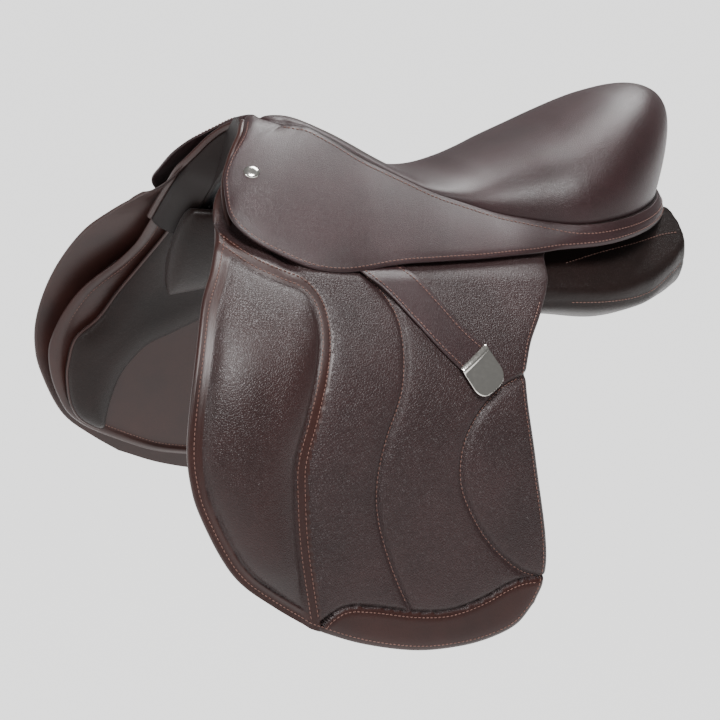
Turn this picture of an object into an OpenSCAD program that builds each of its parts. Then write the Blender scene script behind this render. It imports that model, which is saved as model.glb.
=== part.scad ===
// English saddle: a spring tree, seat, panels, layered flaps and girth straps.
// Millimetres. -X is the pommel, +X the cantle, -Y the near side, +Z up.
// The origin is the underside of the channel roof, in the middle of the saddle.

/* [Side of the saddle] */
// Half width of the flap's outer face at the thigh bend
bend_w = 196; // [190:1:200]
// Height of the thigh bend
bend_z = -62; // [-64:1:-60]
// How gently the side bends from roof to flap
bend_r = 24; // [22:1:26]
// Outward run of the roof for each millimetre down
roof_slope = 1.15; // [1.13:0.01:1.17]
// Outward run of the flap for each millimetre down
drop_slope = 0.20; // [0.18:0.01:0.21]

/* [Leather] */
// Thickness of the flap across the saddle
flap_t = 5; // [4:0.5:5]
// Thickness of the skirt across the saddle
skirt_t = 4; // [3:0.5:4]
// How far the knee roll stands out of the flap
roll_h = 14; // [10:1:16]
// Thickness of the seat cover
cover_t = 3; // [2:0.5:3.5]

/* [Girth straps] */
// Width of a girth strap
strap_w = 28; // [24:1:30]
// Thickness of a girth strap
strap_t = 4; // [3:0.5:4]
// Length of a girth strap below its rivet
strap_l = 148; // [140:1:155]
// Distance between two straps
strap_pitch = 56; // [54:1:58]
// Radius of a buckle hole
hole_r = 2.5; // [2:0.25:3]
// Distance between two buckle holes
hole_pitch = 25; // [20:1:25]

/* [Stirrup bars] */
// Length of the bar's back plate
bar_l = 90; // [86:1:92]
// Room for the stirrup leather behind the blade
bar_gap = 11; // [10:0.5:11]

/* [Hidden] */
$fn = 48;

brown = [0.28, 0.20, 0.20];
red_brown = [0.36, 0.23, 0.20];
dark = [0.16, 0.13, 0.13];
steel = [0.78, 0.78, 0.80];
gap = 0.4;
reach = 420;

// ---- The side surface: half width of the flap's outer face at height z
function side_w(z) = bend_w - drop_slope * (z - bend_z)
    - (roof_slope - drop_slope) * bend_r * ln(1 + exp((z - bend_z) / bend_r));
function side_slope(z) = drop_slope
    + (roof_slope - drop_slope) / (1 + exp(-(z - bend_z) / bend_r));
function side_tilt(z) = atan(1 / side_slope(z));
// Heights at which the profile of a sheet has a corner
heights = concat([for (z = [-310:25:-160]) z], [for (z = [-145:15:-85]) z], [for (z = [-75:10:95]) z]);
top_i = len(heights) - 1;
function band(inner, outer) = concat(
    [for (z = heights) [max(side_w(z) + outer, 0.5), z]],
    [for (i = [top_i:-1:0]) [max(side_w(heights[i]) + inner, 0), heights[i]]]);

// ---- A smooth closed outline through a few points
function bend_at(p, q, r, s, t) = 0.5 * (2 * q + (r - p) * t + (2 * p - 5 * q + 4 * r - s) * t * t
    + (3 * q - p - 3 * r + s) * t * t * t);
function smooth(pts, n = 3) = let (m = len(pts)) [for (i = [0:m - 1]) for (k = [0:n - 1])
    bend_at(pts[(i + m - 1) % m], pts[i], pts[(i + 1) % m], pts[(i + 2) % m], k / n)];

// ---- Leather outlines seen from the side: [x, z]
flap_edge = [[20, 8], [-11, -34], [-32, -62], [-38, -92], [-32, -143], [-21, -209], [-24, -245],
    [-47, -275], [-108, -288], [-165, -286], [-230, -267], [-285, -228], [-319, -176], [-329, -130],
    [-318, -68], [-304, -29], [-282, 14], [-256, 62], [-228, 82], [-190, 80], [-150, 66], [-96, 46],
    [-40, 26]];
skirt_edge = [[-256, 66], [-266, 34], [-261, 20], [-243, 8], [-214, -3], [-185, -8], [-155, -4],
    [-122, 9], [-98, 16], [-62, 16], [-28, 11], [8, 8], [42, 6], [46, 16], [40, 24], [-16, 27],
    [-49, 35], [-99, 52], [-132, 66], [-163, 83], [-200, 87], [-236, 80]];
roll_edge = [[-232, -50], [-219, -66], [-232, -104], [-243, -138], [-243, -180], [-238, -222],
    [-236, -256], [-256, -243], [-284, -224], [-315, -174], [-325, -130], [-315, -70], [-298, -50],
    [-262, -46]];
strip_edge = [[-215, -40], [-204, -40], [-208, -66], [-223, -109], [-233, -150], [-233, -185],
    [-228, -228], [-222, -258], [-231, -258], [-237, -222], [-242, -180], [-242, -140], [-231, -104],
    [-217, -66]];
pad_edge = [[-199, -42], [-140, -40], [-70, -40], [-28, -62], [-42, -92], [-36, -143], [-27, -205],
    [-30, -228], [-70, -240], [-109, -252], [-155, -250], [-195, -243], [-212, -250], [-221, -225],
    [-226, -185], [-226, -150], [-216, -109], [-200, -66]];
patch_edge = [[-220, -262], [-195, -252], [-153, -258], [-109, -260], [-68, -247], [-28, -237],
    [-27, -246], [-48, -272], [-108, -285], [-165, -283]];
keeper_edge = [[-146, -42], [-116, -36], [-78, -62], [-76, -72], [-90, -84], [-101, -82]];
clip_edge = [[-98, -74], [-73, -57], [-62, -74], [-70, -87], [-85, -84]];
sweat_edge = [[-251, 6], [-255, -18], [-267, -56], [-298, -92], [-315, -131], [-316, -165],
    [-303, -199], [-271, -232], [-200, -262], [-120, -268], [-66, -258], [-42, -228], [-52, -150],
    [-58, -95], [-44, -60], [-12, -26], [-30, -8], [-140, -4]];
panel_flap_edge = [[-232, -4], [-241, -34], [-265, -92], [-295, -136], [-300, -178], [-284, -217],
    [-250, -235], [-190, -240], [-140, -220], [-112, -170], [-106, -110], [-112, -60], [-140, -28],
    [-190, -8]];
block_edge = [[-272, -62], [-298, -100], [-306, -145], [-292, -190], [-262, -212], [-256, -195],
    [-270, -150], [-262, -100], [-248, -66]];

// ---- Outlines of one flank, seen from above or the side
module across(outline) rotate([90, 0, 0]) translate([0, 0, -reach]) linear_extrude(reach) polygon(outline);
module along(profile, x0, x1) translate([x0, 0, 0]) rotate([90, 0, 90])
    linear_extrude(x1 - x0) polygon(profile);
// A sheet of leather that follows the side surface, between two depths
module sheet(outline, inner, outer) intersection() {
    along(band(inner, outer), -345, 60);
    across(smooth(outline));
}
// Both flanks are built on the off side and mirrored
module flank(side) if (side == "near") mirror([0, 1, 0]) children(); else children();
// A frame that lies on the side surface: +Z outward, +Y up the slope
module on_side(x, z, outer = 0) translate([x, side_w(z) + outer, z])
    rotate([-side_tilt(z), 0, 0]) mirror([0, 1, 0]) children();

// ---- The flap's fold line, just below the skirt
flap_fold_z = -24;
module below_fold(g) on_side(0, flap_fold_z) translate([-400, -400 - g, -200]) cube([800, 400, 400]);
module above_fold() on_side(0, flap_fold_z) translate([-400, 0, -60]) cube([800, 200, 120]);
// ---- The skirt's fold line, slanting from the nail to the strip
skirt_fold = [-262, 62];
skirt_turn = -25.7;
module at_skirt_fold() on_side(skirt_fold[0], skirt_fold[1], skirt_t + gap) rotate([0, 0, skirt_turn])
    children();
module skirt_below(g) at_skirt_fold() translate([-60, -120 - g, -60]) cube([300, 120, 90]);
module skirt_above() at_skirt_fold() translate([-200, 0, -90]) cube([600, 300, 130]);

// ---- Stirrup bar, in the frame of the side surface
bar_x = -180;
bar_z = 24;
blade_t = 4;
plate_t = 3.5;
blade_top = -1;
plate_top = blade_top - blade_t - bar_gap;
pin_x = 36;
slot_r = 6.5;
tree_top = -30;
tree_low = -46;
module at_bar() on_side(bar_x, bar_z) children();
module stirrup_bar_part() color(steel) at_bar() difference() {
    union() {
        translate([-bar_l / 2, -11, plate_top - plate_t]) cube([bar_l, 22, plate_t]);
        translate([-bar_l / 2, -7, blade_top - blade_t]) cube([bar_l / 2 + pin_x - 8, 14, blade_t]);
        translate([-bar_l / 2, -7, plate_top - 1]) cube([7, 14, bar_gap + 2]);
        translate([pin_x - 10, -4.5, blade_top - 2.8]) cube([10, 9, 1.6]);
        translate([pin_x, 0, blade_top - 2.8]) cylinder(r = 4.5, h = 1.6);
    }
    translate([pin_x, 0, blade_top - 10]) cylinder(r = 1.6, h = 12);
}
module bar_catch_part() color(steel) at_bar() difference() {
    union() {
        translate([pin_x, 0, blade_top - blade_t]) cylinder(r = 4.5, h = blade_t);
        translate([pin_x, -4.5, blade_top - blade_t]) cube([16, 9, blade_t]);
        translate([pin_x + 16, 0, blade_top - blade_t]) cylinder(r = 4.5, h = blade_t);
    }
    translate([pin_x, 0, blade_top - 3.1]) cylinder(r = slot_r, h = 2.2);
    translate([pin_x, 0, blade_top - 10]) cylinder(r = 1.6, h = 12);
}
module catch_pin_part() color(steel) at_bar()
    translate([pin_x, 0, blade_top - blade_t]) cylinder(r = 1.55, h = blade_t);
module rivet_part(x) color(steel) at_bar() translate([x, 0, plate_top - plate_t - 8])
    cylinder(r = 3, h = 8 + plate_t + 1);

// ---- Seat: half width, welt height, top and dish of the seat at x
function along_x(t, x) = lookup(x, t);
half_ws = [[-206, 6], [-191, 13], [-172, 23], [-147, 35], [-116, 48], [-74, 63], [-16, 79], [38, 101], [60, 107]];
cantle_x = 60;
cantle_w = 107;
cantle_r = 130;
function seat_half(x) = x < cantle_x ? along_x(half_ws, x)
    : cantle_w * pow(max(0.01, 1 - pow((x - cantle_x) / cantle_r, 2.35)), 0.85);
welt_zs = [[-206, 88], [-191, 90], [-172, 91], [-163, 89], [-147, 80], [-132, 71], [-99, 58], [-74, 46], [-49, 39],
    [-16, 32], [16, 28], [52, 30], [90, 36], [130, 46], [165, 52], [188, 64]];
top_zs = [[-206, 95], [-195, 99], [-178, 98], [-150, 89], [-112, 73], [-72, 62], [-43, 59], [-15, 63], [31, 85],
    [68, 107], [114, 136], [149, 147], [168, 146], [180, 140], [188, 130]];
foam_zs = [[-206, 86], [-172, 84], [-150, 72], [-100, 46], [-43, 27], [38, 21], [90, 28], [130, 42], [178, 62]];
seat_xs = [-205, -195, -182, -165, -145, -120, -90, -60, -30, 0, 30, 60, 90, 115, 135, 152, 165, 175, 183, 188];
function dish(x, y, h) = 12 * max(0, 1 - pow((x - 85) / 75, 2)) * pow(max(0, 1 - pow(y / (0.8 * h), 2)), 2);
// The arch of the seat across the saddle, pulled in by a thickness
function seat_arch(x, t) = let (h = seat_half(x) - t, zw = along_x(welt_zs, x), zt = along_x(top_zs, x) - t)
    [for (a = [0:15:180]) let (y = h * cos(a)) [x, y, zw + (zt - zw) * pow(sin(a), 0.7) - dish(x, y, h)]];
function cover_ring(x, t, drop) = let (h = seat_half(x) - t, zw = along_x(welt_zs, x))
    concat([[x, h, zw - drop]], seat_arch(x, t), [[x, -h, zw - drop]]);
function foam_ring(x) = let (t = cover_t + gap, h = (seat_half(x) - t) * 0.75,
    zf = min(along_x(foam_zs, x), along_x(welt_zs, x) - 1))
    concat([[x, h, zf]], seat_arch(x, t), [[x, -h, zf]]);
// A closed body through rings of points that all have the same count
module loft(rings) {
    n = len(rings[0]);
    m = len(rings);
    sides = [for (j = [0:m - 2]) for (i = [0:n - 1]) for (f = [0, 1]) let (k = (i + 1) % n)
        f == 0 ? [j * n + i, (j + 1) * n + k, j * n + k] : [j * n + i, (j + 1) * n + i, (j + 1) * n + k]];
    ends = [[for (i = [0:n - 1]) i], [for (i = [n - 1:-1:0]) (m - 1) * n + i]];
    polyhedron([for (r = rings) for (p = r) p], concat(sides, ends));
}
cover_xs = [for (x = seat_xs) if (x > -200 && x < 186) x];

// ---- Tree
rail_low = [[-222, 10], [-150, 10], [-40, 8], [40, 8], [90, 14], [130, 24], [165, 36], [178, 40]];
rail_t = 8;
function strip_of(line, t) = concat(line, [for (i = [len(line) - 1:-1:0]) line[i] + [0, t]]);
// One leg of the arch, from its foot to the apex on the centre line
function arch_leg(o) = let (leg = [for (z = [8:8:96]) if (side_w(z) + o > 4) [side_w(z) + o, z]], top = leg[len(leg) - 1])
    concat(leg, [[0, top[1] + top[0] / roof_slope]]);
function arch_line(o) = let (leg = arch_leg(o), n = len(leg))
    concat(leg, [for (i = [n - 2:-1:0]) [-leg[i][0], leg[i][1]]]);
module arch(outer, inner, x0, x1) let (in = arch_line(inner))
    along(concat(arch_line(outer), [for (i = [len(in) - 1:-1:0]) in[i]]), x0, x1);
module cantle_plan() linear_extrude(200) polygon(concat([for (x = [40:15:175]) [x, seat_half(x) - 20]],
    [for (x = [175:-15:40]) [x, 20 - seat_half(x)]]));
module tree() color([0.12, 0.12, 0.13]) union() {
    arch(tree_top, tree_low, -225, -195);
    for (side = ["near", "off"]) flank(side) {
        intersection() {
            along(band(tree_low, tree_top), -196, -138);
            translate([-200, 40, 8]) cube([70, 60, 40]);
        }
        intersection() {
            across(strip_of(rail_low, rail_t));
            translate([-196, 44, 0]) cube([244, 20, 60]);
        }
    }
    intersection() {
        translate([0, -reach / 2, 0]) across(strip_of(rail_low, rail_t));
        cantle_plan();
    }
}
module gullet_plate() color(steel) arch(tree_low - 0.3, tree_low - 5, -221, -199);
module gullet_screws() color(steel) for (side = ["near", "off"]) flank(side) for (x = [-215, -205])
    on_side(x, 18, tree_low - 6) translate([0, 0, -1]) cylinder(r = 2.5, h = 10);
module seat_webbing() color([0.75, 0.72, 0.66]) translate([0, 26, 0]) rotate([90, 0, 0]) linear_extrude(52)
    polygon(strip_of([for (x = [-190:20:150]) [x, along_x(foam_zs, x) - 4.5]], 2));

// ---- Seat
module seat_foam() color([0.85, 0.82, 0.7]) loft([for (x = cover_xs) foam_ring(x)]);
module seat_cover() color(brown) difference() {
    loft([for (x = seat_xs) cover_ring(x, 0, 0)]);
    loft([for (x = cover_xs) cover_ring(x + (x < -190 ? -1 : x > 182 ? 1 : 0), cover_t, 12)]);
}
welt_r = 2.2;
function welt_at(x, s) = [x, s * (seat_half(x) + welt_r), along_x(welt_zs, x) - 3];
welt_path = concat([for (x = seat_xs) welt_at(x, 1)], [for (i = [len(seat_xs) - 1:-1:0]) welt_at(seat_xs[i], -1)]);
// A closed round cord along a path in plan
module cord_loop(path, r, sides = 6) {
    m = len(path);
    pts = [for (i = [0:m - 1]) let (d = path[(i + 1) % m] - path[(i + m - 1) % m], n = norm([d[0], d[1]]),
        out = [d[1] / n, -d[0] / n, 0]) for (k = [0:sides - 1]) let (a = 360 * k / sides)
        path[i] + r * (cos(a) * out + [0, 0, sin(a)])];
    polyhedron(pts, [for (i = [0:m - 1]) for (k = [0:sides - 1]) for (f = [0, 1]) let (j = (i + 1) % m,
        l = (k + 1) % sides) f == 0 ? [i * sides + k, i * sides + l, j * sides + l]
        : [i * sides + k, j * sides + l, j * sides + k]]);
}
module seat_welt() color(dark) cord_loop(welt_path, welt_r);
facing_out = -14;
module pommel_facing() color(dark) arch(facing_out, tree_low - 5, -230, -227);
strip_low = [[46, 6], [75, 12], [111, 18], [140, 32], [165, 36], [188, 34]];
strip_w = 3;
strip_h = 20;
function strip_ring(x, s) = let (w = seat_half(x) + 2, z = along_x(strip_low, x), u = x / 400)
    [[x, s * w, z], [x + strip_w * u, s * (w + strip_w), z], [x + strip_w * u, s * (w + strip_w), z + strip_h],
    [x, s * w, z + strip_h]];
strip_xs = [50, 65, 80, 95, 110, 125, 140, 152, 164, 173, 180, 186];
module rear_strip() color(red_brown) loft(concat([for (x = strip_xs) strip_ring(x, 1)],
    [for (i = [len(strip_xs) - 1:-1:0]) strip_ring(strip_xs[i], -1)]));
module saddle_nails() color(steel) for (side = ["near", "off"]) flank(side)
    on_side(-238, 63, skirt_t + gap) {
        translate([0, 0, -3]) cylinder(r = 1.5, h = 3.2);
        intersection() {
            translate([0, 0, -5.2]) sphere(r = 8.4);
            translate([0, 0, 0.1]) cylinder(r = 6.6, h = 6);
        }
    }
module channel_lining() color(dark) translate([-190, -37, 0]) cube([266, 74, 2.5]);

// ---- Panels: rings across one side, from the front to the back
panel_rings = [
    [-238, [[56, 6], [58, -10], [72, -42], [90, -72], [108, -84], [120, -60], [98, -22], [72, 4]]],
    [-180, [[44, 6], [46, -10], [62, -38], [84, -60], [106, -68], [120, -48], [96, -18], [68, 4]]],
    [-120, [[40, 6], [40, -12], [54, -34], [80, -50], [104, -56], [118, -42], [94, -18], [68, 4]]],
    [-50, [[38, 6], [38, -12], [52, -34], [78, -47], [104, -50], [120, -40], [104, -16], [72, 4]]],
    [20, [[38, 6], [38, -14], [54, -38], [80, -50], [106, -48], [120, -36], [116, -8], [94, 4]]],
    [80, [[38, 6], [40, -20], [56, -46], [82, -55], [106, -48], [120, -34], [120, -2], [104, 5]]],
    [130, [[36, 8], [38, -16], [54, -38], [76, -45], [98, -42], [112, -30], [112, 2], [92, 10]]],
    [160, [[40, 14], [42, -4], [54, -22], [72, -30], [90, -26], [98, -14], [96, 8], [82, 18]]],
    [179, [[58, 8], [60, 0], [66, -8], [74, -12], [80, -9], [82, -2], [80, 7], [72, 11]]]];
cell_spans = [[-125, -30], [-10, 90]];
module pocket(x0, x1, g) translate([x0 + g, 56 + g, -16 + g]) cube([x1 - x0 - 2 * g, 36 - 2 * g, 40]);
module panel_part() color(dark) difference() {
    loft([for (r = panel_rings) [for (p = r[1]) [r[0], p[0], p[1]]]]);
    for (s = cell_spans) pocket(s[0], s[1], 0);
}
module air_cells_part() color([0.2, 0.3, 0.45]) for (s = cell_spans) intersection() {
    pocket(s[0], s[1], 0.3);
    translate([-200, 0, -40]) cube([400, 200, 44]);
}
gusset_in = 1.5;
gusset_out = 4;
gusset_rings = [for (i = [4:7]) let (r = panel_rings[i], e = r[1][5], f = r[1][6])
    [[r[0], e[0] + gusset_in, e[1] + 1], [r[0], e[0] + gusset_out, e[1] + 1],
    [r[0], f[0] + gusset_out, f[1] - 1], [r[0], f[0] + gusset_in, f[1] - 1]]];
module panel_gusset_part() color(brown) loft(gusset_rings);
module panel_flap_part() color(brown) sheet(panel_flap_edge, -36, -24);
module sweat_flap_part() color(brown) sheet(sweat_edge, -22, -18);
module knee_block_part() color(dark) sheet(block_edge, -17.5, -6);

// ---- Skirt and flap
module skirt() sheet(skirt_edge, gap, skirt_t + gap);
module skirt_top_part() color(brown) intersection() {
    skirt();
    skirt_above();
}
module skirt_lobe_part() color(brown) intersection() {
    skirt();
    skirt_below(gap);
}
module flap_head_part() color(brown) difference() {
    intersection() {
        sheet(flap_edge, -flap_t, 0);
        above_fold();
    }
    at_bar() translate([-bar_l / 2 - 7, -15, -15]) cube([bar_l + 24, 38, 30]);
}
module flap_part() color(red_brown) intersection() {
    sheet(flap_edge, -flap_t, 0);
    below_fold(gap);
}
module knee_roll_part() color(brown) sheet(roll_edge, 0, roll_h);
module seam_strip_part() color(red_brown) sheet(strip_edge, 0, 3.5);
module flap_pad_part() color(brown) sheet(pad_edge, 0, 4);
module bottom_patch_part() color(red_brown) sheet(patch_edge, 0, 3);
module keeper_strap_part() color(brown) sheet(keeper_edge, 4, 7);
module keeper_clip_part() color(steel) sheet(clip_edge, 7, 9);

// ---- Girth straps, flat in the room between the sweat flap and the flap
strap_top_z = -110;
strap_run = (side_w(-280) - side_w(strap_top_z)) / 170;
strap_tilt = atan(strap_run);
strap_mid_x = -136;
strap_lap = 10;
// Frame of the straps: +Z outward, +Y up the straps, origin on the inner face
module at_straps(x) translate([x, side_w(strap_top_z) - 13, strap_top_z])
    rotate([strap_tilt - 90, 0, 0]) mirror([0, 1, 0]) children();
module strap_part(i) color(brown) at_straps(strap_mid_x + i * strap_pitch) difference() {
    union() {
        translate([-strap_w / 2, -strap_l, 0]) cube([strap_w, strap_l + strap_lap, strap_t]);
        translate([0, -strap_l, 0]) intersection() {
            cylinder(r = strap_w / 2, h = strap_t);
            translate([-strap_w / 2, -strap_w, 0]) cube([strap_w, strap_w, strap_t]);
        }
    }
    for (k = [0:4]) translate([0, 8 - strap_l + k * hole_pitch, -1]) cylinder(r = hole_r, h = strap_t + 2);
    translate([0, 0, -1]) cylinder(r = 3.05, h = strap_t + 2);
}
module strap_rivet_part(i) color(steel) at_straps(strap_mid_x + i * strap_pitch) {
    translate([0, 0, -4.5]) cylinder(r = 3, h = 4.5 + strap_t + 0.4);
    translate([0, 0, strap_t + 0.3]) cylinder(r = 5.5, h = 1);
}
module girth_web_part(i) color([0.7, 0.68, 0.62]) let (x = strap_mid_x + i * strap_pitch) intersection() {
    along(band(-17.6, -15), -345, 60);
    translate([x - 13, 0, -116]) cube([26, reach, 104]);
}
guard_top = -20;
guard_l = 62;
guard_w = 2 * strap_pitch + strap_w + 16;
module buckle_guard_part() color(brown) at_straps(strap_mid_x) difference() {
    union() {
        translate([-guard_w / 2, guard_top - guard_l, strap_t + 0.4]) cube([guard_w, guard_l, 2.2]);
        translate([-strap_w / 2 - 3, guard_top - 40, -2.4]) cube([strap_w + 6, 20, strap_t + 4]);
    }
    translate([-strap_w / 2 - 0.5, guard_top - 41, -0.5]) cube([strap_w + 1, 22, strap_t + 0.9]);
}

module girth_webs() for (side = ["near", "off"]) flank(side) for (i = [-1:1]) girth_web_part(i);
module strap_rivets() for (side = ["near", "off"]) flank(side) for (i = [-1:1]) strap_rivet_part(i);
module bar_rivets() for (side = ["near", "off"]) flank(side) for (x = [-26, 0, 26]) rivet_part(x);
module catch_pins() for (side = ["near", "off"]) flank(side) catch_pin_part();

tree();
gullet_plate();
gullet_screws();
seat_webbing();
seat_foam();
seat_cover();
seat_welt();
pommel_facing();
rear_strip();
saddle_nails();
bar_rivets();
catch_pins();
girth_webs();
strap_rivets();
channel_lining();
flank("near") skirt_top_part();  // skirt_top_near
flank("off") skirt_top_part();  // skirt_top_off
flank("near") flap_head_part();  // flap_head_near
flank("off") flap_head_part();  // flap_head_off
flank("near") stirrup_bar_part();  // stirrup_bar_near
flank("off") stirrup_bar_part();  // stirrup_bar_off
flank("near") panel_part();  // panel_near
flank("off") panel_part();  // panel_off
flank("near") panel_gusset_part();  // panel_gusset_near
flank("off") panel_gusset_part();  // panel_gusset_off
flank("near") air_cells_part();  // air_cells_near
flank("off") air_cells_part();  // air_cells_off
flank("near") panel_flap_part();  // panel_flap_near
flank("off") panel_flap_part();  // panel_flap_off
flank("near") sweat_flap_part();  // sweat_flap_near
flank("off") sweat_flap_part();  // sweat_flap_off
flank("near") knee_block_part();  // knee_block_near
flank("off") knee_block_part();  // knee_block_off
flank("near") skirt_lobe_part();  // skirt_lobe_near
flank("off") skirt_lobe_part();  // skirt_lobe_off
flank("near") flap_part();  // flap_near
flank("off") flap_part();  // flap_off
flank("near") knee_roll_part();  // knee_roll_near
flank("off") knee_roll_part();  // knee_roll_off
flank("near") seam_strip_part();  // seam_strip_near
flank("off") seam_strip_part();  // seam_strip_off
flank("near") flap_pad_part();  // flap_pad_near
flank("off") flap_pad_part();  // flap_pad_off
flank("near") bottom_patch_part();  // bottom_patch_near
flank("off") bottom_patch_part();  // bottom_patch_off
flank("near") keeper_strap_part();  // keeper_strap_near
flank("off") keeper_strap_part();  // keeper_strap_off
flank("near") keeper_clip_part();  // keeper_clip_near
flank("off") keeper_clip_part();  // keeper_clip_off
flank("near") bar_catch_part();  // bar_catch_near
flank("off") bar_catch_part();  // bar_catch_off
flank("near") strap_part(-1);  // strap_front_near
flank("off") strap_part(-1);  // strap_front_off
flank("near") strap_part(0);  // strap_middle_near
flank("off") strap_part(0);  // strap_middle_off
flank("near") strap_part(1);  // strap_rear_near
flank("off") strap_part(1);  // strap_rear_off
flank("near") buckle_guard_part();  // buckle_guard_near
flank("off") buckle_guard_part();  // buckle_guard_off
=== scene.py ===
# %% [markdown]
# An english saddle is layers of leather on a spring tree: a padded seat, skirts that hide the stirrup bars,
# flaps with knee rolls, and panels that rest on the horse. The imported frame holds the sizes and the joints.
# Every soft piece here is a numpy grid turned into a mesh, because leather is a sheet with a thickness.

# %% Load the frame
import math

import bpy
import numpy as np
from mathutils import Matrix, Vector


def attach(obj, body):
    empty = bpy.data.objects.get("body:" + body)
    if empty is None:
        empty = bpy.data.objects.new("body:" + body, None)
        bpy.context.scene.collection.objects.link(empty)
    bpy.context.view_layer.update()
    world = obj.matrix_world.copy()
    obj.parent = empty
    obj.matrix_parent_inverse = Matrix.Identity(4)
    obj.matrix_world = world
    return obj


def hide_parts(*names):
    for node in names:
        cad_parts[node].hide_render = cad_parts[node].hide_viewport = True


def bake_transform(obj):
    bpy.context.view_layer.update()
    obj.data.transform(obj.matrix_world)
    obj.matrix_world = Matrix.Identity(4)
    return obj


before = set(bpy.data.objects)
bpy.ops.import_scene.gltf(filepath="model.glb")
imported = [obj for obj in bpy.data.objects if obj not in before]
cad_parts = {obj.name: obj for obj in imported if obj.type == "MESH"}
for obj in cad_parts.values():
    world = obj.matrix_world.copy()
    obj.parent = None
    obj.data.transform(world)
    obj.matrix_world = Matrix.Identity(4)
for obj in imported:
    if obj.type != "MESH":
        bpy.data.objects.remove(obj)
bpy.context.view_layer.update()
MM = 0.001

# %% [markdown]
# The camera stands at the rider's left, a little in front and above, with a long lens so that the saddle
# keeps its proportions. It sits slightly nose-up, so the camera is rolled and the frame stays level.

# %% Camera
CAMERA_BACK = Vector((-0.4328, -0.8712, 0.2317))
CAMERA_RIGHT = Vector((0.9013, -0.4226, 0.0947))
LOOK_AT = Vector((-92, 0, -115)) * MM
DISTANCE = 1.7
LENS_MM = 95.6

camera_data = bpy.data.cameras.new("camera")
camera_data.lens = LENS_MM
camera_data.sensor_width = 36
camera = bpy.data.objects.new("camera", camera_data)
back = CAMERA_BACK.normalized()
right = (CAMERA_RIGHT - back * CAMERA_RIGHT.dot(back)).normalized()
turn = Matrix((right, back.cross(right), back)).transposed()
camera.matrix_world = Matrix.Translation(LOOK_AT + back * DISTANCE) @ turn.to_4x4()
bpy.context.scene.collection.objects.link(camera)
bpy.context.scene.camera = camera
print("camera at", [round(c, 2) for c in camera.matrix_world.translation], "m")

# %% [markdown]
# Node materials are built by one small function. It makes a node, sets what it is told to, and joins any
# input that is given as another node's output.


# %% Node helpers
def srgb(hex_code):
    """The linear colour of an sRGB hex value."""
    parts = [int(hex_code[i : i + 2], 16) / 255 for i in (1, 3, 5)]
    return tuple(c / 12.92 if c <= 0.04045 else ((c + 0.055) / 1.055) ** 2.4 for c in parts) + (1.0,)


def add(material, kind, inputs=None, **settings):
    """A new node; inputs maps a socket's name or number to a value or to another node's output."""
    tree = material.node_tree
    made = tree.nodes.new(kind)
    for key, value in settings.items():
        setattr(made, key, value)
    for key, value in (inputs or {}).items():
        if isinstance(value, bpy.types.NodeSocket):
            tree.links.new(value, made.inputs[key])
        else:
            made.inputs[key].default_value = value
    return made


def new_material(name):
    """An empty node material and its Principled shader."""
    material = bpy.data.materials.new(name)
    material.use_nodes = True
    return material, material.node_tree.nodes["Principled BSDF"]
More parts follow.
